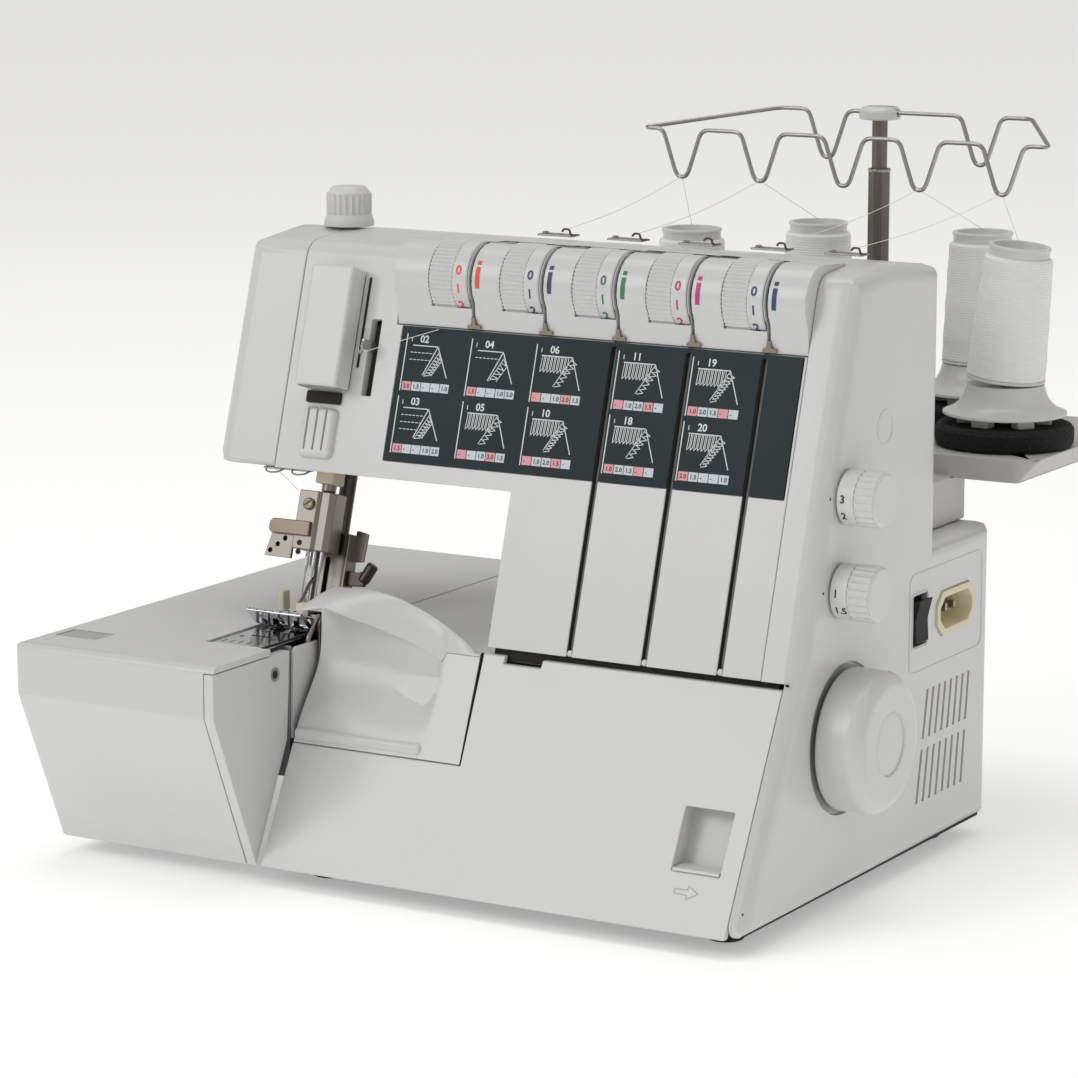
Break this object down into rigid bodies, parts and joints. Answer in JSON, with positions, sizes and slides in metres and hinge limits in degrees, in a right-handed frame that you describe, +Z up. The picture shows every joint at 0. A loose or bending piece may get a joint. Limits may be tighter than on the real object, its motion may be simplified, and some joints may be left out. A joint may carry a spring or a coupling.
{
  "type": "coverlock sewing machine",
  "caption": "Free-arm overlock and cover stitch machine with tension dials, hinged front cover, slide-off table, belt drive and telescopic thread stand.",
  "frame": {"origin": "middle of the whole machine's footprint on the table it stands on", "axes": "+X towards the handwheel side, +Y to the rear, +Z up"},
  "size_m": [0.399, 0.4142, 0.3485],
  "materials": {
    "white_shell": "glossy cool white moulded shell",
    "grey_plastic": "satin warm light grey",
    "chart_plastic": "glossy slate green printed panel",
    "ivory_plastic": "satin ivory",
    "black_plastic": "satin black",
    "foam": "open-cell black foam",
    "steel": "ground steel",
    "chrome": "polished plate",
    "casting": "as-cast aluminium",
    "mast_steel": "drawn tube with a bronze-grey tint",
    "rubber": "matt black",
    "thread": "wound polyester thread"
  },
  "bodies": {
    "root": {"base_pan": "black_plastic", "rubber_foot_1": "rubber", "rubber_foot_2": "rubber", "rubber_foot_3": "rubber", "rubber_foot_4": "rubber", "main_frame": "casting", "upper_housing": "white_shell", "face_cover": "white_shell", "belt_cover": "white_shell", "lower_housing": "white_shell", "free_arm": "casting", "needle_plate": "chrome", "take_up_cover": "white_shell", "tension_housing": "white_shell", "stitch_chart": "chart_plastic", "thread_guide_rail": "steel", "motor": "casting", "drive_belt": "rubber", "power_inlet": "ivory_plastic", "spool_stand": "grey_plastic", "spool_rest_1": "foam", "spool_rest_2": "foam", "spool_rest_3": "foam", "spool_rest_4": "foam", "thread_cone_1": "thread", "thread_cone_2": "thread", "thread_cone_3": "thread", "thread_cone_4": "thread", "mast_lower": "mast_steel"},
    "drive_line": {"handwheel": "white_shell", "main_shaft": "steel", "drive_pulley": "casting"},
    "motor_rotor": {"motor_pulley": "casting"},
    "needle_assembly": {"needle_bar": "steel", "needle_clamp": "steel"},
    "presser_assembly": {"presser_bar": "steel", "presser_foot": "chrome"},
    "lifter": {"presser_lifter": "grey_plastic"},
    "pressure_screw": {"pressure_knob": "white_shell"},
    "dial_1": {"tension_dial_1": "white_shell"},
    "dial_2": {"tension_dial_2": "white_shell"},
    "dial_3": {"tension_dial_3": "white_shell"},
    "dial_4": {"tension_dial_4": "white_shell"},
    "dial_5": {"tension_dial_5": "white_shell"},
    "length_dial": {"stitch_length_dial": "white_shell"},
    "feed_dial": {"differential_dial": "white_shell"},
    "rocker": {"power_switch": "black_plastic"},
    "take_up": {"take_up_lever": "steel"},
    "knife": {"upper_knife": "steel"},
    "looper_upper": {"upper_looper": "chrome"},
    "looper_lower": {"lower_looper": "chrome"},
    "feed": {"feed_dog": "steel"},
    "cover": {"front_cover": "white_shell", "looper_guard": "white_shell"},
    "table": {"table_extension": "white_shell", "table_end_cap": "white_shell"},
    "release_button": {"table_release_button": "grey_plastic"},
    "mast_slider": {"mast_upper": "mast_steel", "mast_cap": "white_shell", "thread_guide_wire": "chrome"}
  },
  "joints": [
    {"name": "handwheel_turn", "type": "hinge", "parent": "root", "child": "drive_line", "pos_m": [0.1805, -0.07415, 0.0805], "axis": [1, 0, 0], "continuous": true},
    {"name": "motor_turn", "type": "hinge", "parent": "root", "child": "motor_rotor", "pos_m": [0.1495, 0.04015, 0.06], "axis": [1, 0, 0], "continuous": true},
    {"name": "needle_bar_stroke", "type": "slide", "parent": "root", "child": "needle_assembly", "axis": [0, 0.2932, 0.956], "range_m": [-0.016, 0]},
    {"name": "presser_foot_lift", "type": "slide", "parent": "root", "child": "presser_assembly", "axis": [0, 0.2932, 0.956], "range_m": [0, 0.005]},
    {"name": "presser_lifter_turn", "type": "hinge", "parent": "root", "child": "lifter", "pos_m": [-0.0845, 0.00315, 0.192], "axis": [1, 0, 0], "range_deg": [0, 28]},
    {"name": "pressure_knob_turn", "type": "hinge", "parent": "root", "child": "pressure_screw", "pos_m": [-0.1265, -0.02685, 0.295], "axis": [0, 0, 1], "range_deg": [-360, 360]},
    {"name": "tension_dial_1_turn", "type": "hinge", "parent": "root", "child": "dial_1", "pos_m": [-0.0375, -0.06185, 0.277], "axis": [1, 0, 0], "range_deg": [-290, 0]},
    {"name": "tension_dial_2_turn", "type": "hinge", "parent": "root", "child": "dial_2", "pos_m": [0.0015, -0.06185, 0.277], "axis": [1, 0, 0], "range_deg": [-290, 0]},
    {"name": "tension_dial_3_turn", "type": "hinge", "parent": "root", "child": "dial_3", "pos_m": [0.0405, -0.06185, 0.277], "axis": [1, 0, 0], "range_deg": [-290, 0]},
    {"name": "tension_dial_4_turn", "type": "hinge", "parent": "root", "child": "dial_4", "pos_m": [0.0795, -0.06185, 0.277], "axis": [1, 0, 0], "range_deg": [-290, 0]},
    {"name": "tension_dial_5_turn", "type": "hinge", "parent": "root", "child": "dial_5", "pos_m": [0.1185, -0.06185, 0.277], "axis": [1, 0, 0], "range_deg": [-290, 0]},
    {"name": "stitch_length_turn", "type": "hinge", "parent": "root", "child": "length_dial", "pos_m": [0.1805, -0.07505, 0.1922], "axis": [1, 0, 0], "range_deg": [-120, 90]},
    {"name": "differential_turn", "type": "hinge", "parent": "root", "child": "feed_dial", "pos_m": [0.1805, -0.08075, 0.1502], "axis": [1, 0, 0], "range_deg": [-90, 90]},
    {"name": "power_switch_rock", "type": "hinge", "parent": "root", "child": "rocker", "pos_m": [0.1675, 0.00495, 0.121], "axis": [0, 1, 0], "range_deg": [-10, 0]},
    {"name": "take_up_swing", "type": "hinge", "parent": "root", "child": "take_up", "pos_m": [-0.0793, -0.04985, 0.232], "axis": [1, 0, 0], "range_deg": [0, 15]},
    {"name": "upper_knife_stroke", "type": "slide", "parent": "root", "child": "knife", "axis": [0, 0, 1], "range_m": [-0.006, 0]},
    {"name": "upper_looper_swing", "type": "hinge", "parent": "root", "child": "looper_upper", "pos_m": [-0.0195, -0.08135, 0.059], "axis": [0, 1, 0], "range_deg": [0, 8]},
    {"name": "lower_looper_swing", "type": "hinge", "parent": "root", "child": "looper_lower", "pos_m": [-0.0545, -0.08635, 0.035], "axis": [0, 1, 0], "range_deg": [0, 6]},
    {"name": "feed_dog_lift", "type": "slide", "parent": "root", "child": "feed", "axis": [0, 0, 1], "range_m": [-0.0015, 0]},
    {"name": "front_cover_open", "type": "hinge", "parent": "root", "child": "cover", "pos_m": [0.0405, -0.17085, 0.0105], "axis": [1, 0, 0], "range_deg": [0, 80]},
    {"name": "table_slide", "type": "slide", "parent": "root", "child": "table", "axis": [-1, 0, 0], "range_m": [0, 0.12]},
    {"name": "release_button_press", "type": "slide", "parent": "table", "child": "release_button", "axis": [0, 0, -1], "range_m": [0, 0.002], "stiffness_N_per_m": 400},
    {"name": "mast_slide", "type": "slide", "parent": "root", "child": "mast_slider", "axis": [0, 0, 1], "range_m": [0, 0.1]}
  ],
  "couplings": [
    {"joint": "motor_turn", "follows": "handwheel_turn", "ratio": 3},
    {"joint": "presser_lifter_turn", "follows": "presser_foot_lift", "rad_per_m": 97.73},
    {"joint": "take_up_swing", "follows": "needle_bar_stroke", "rad_per_m": -16.36},
    {"joint": "upper_knife_stroke", "follows": "needle_bar_stroke", "ratio": 0.375},
    {"joint": "upper_looper_swing", "follows": "needle_bar_stroke", "rad_per_m": -8.72},
    {"joint": "lower_looper_swing", "follows": "needle_bar_stroke", "rad_per_m": -6.54},
    {"joint": "feed_dog_lift", "follows": "needle_bar_stroke", "ratio": 0.09375}
  ]
}
